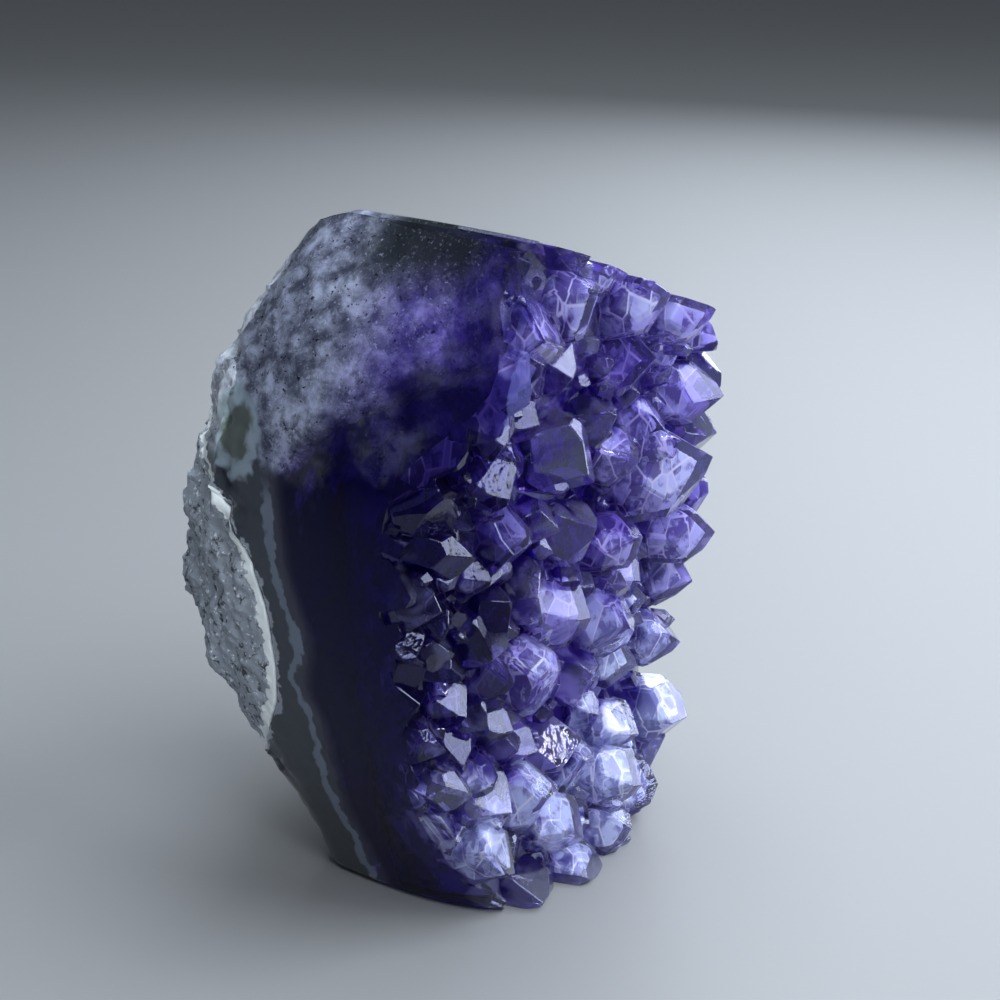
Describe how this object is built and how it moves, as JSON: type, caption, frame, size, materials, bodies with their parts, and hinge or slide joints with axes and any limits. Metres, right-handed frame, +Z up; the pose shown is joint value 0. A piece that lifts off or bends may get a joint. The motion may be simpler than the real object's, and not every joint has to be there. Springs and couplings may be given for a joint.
{
  "type": "amethyst freeform",
  "caption": "Polished slice of geode wall with natural amethyst crystals on its open face and host rock on its back, standing on a small flat.",
  "frame": {"origin": "centre of the bounding box's base, in the plane of the flat cut that the stone stands on", "axes": "+Z up; -Y towards the viewer of the picture, who sees the ground rim on the left and the crystals on the right; +X to that viewer's right"},
  "size_m": [0.0652, 0.0646, 0.0799],
  "materials": {
    "amethyst": "polished",
    "basalt": "matte"
  },
  "bodies": {
    "root": {"amethyst": "amethyst", "basalt_matrix": "basalt"}
  },
  "joints": []
}
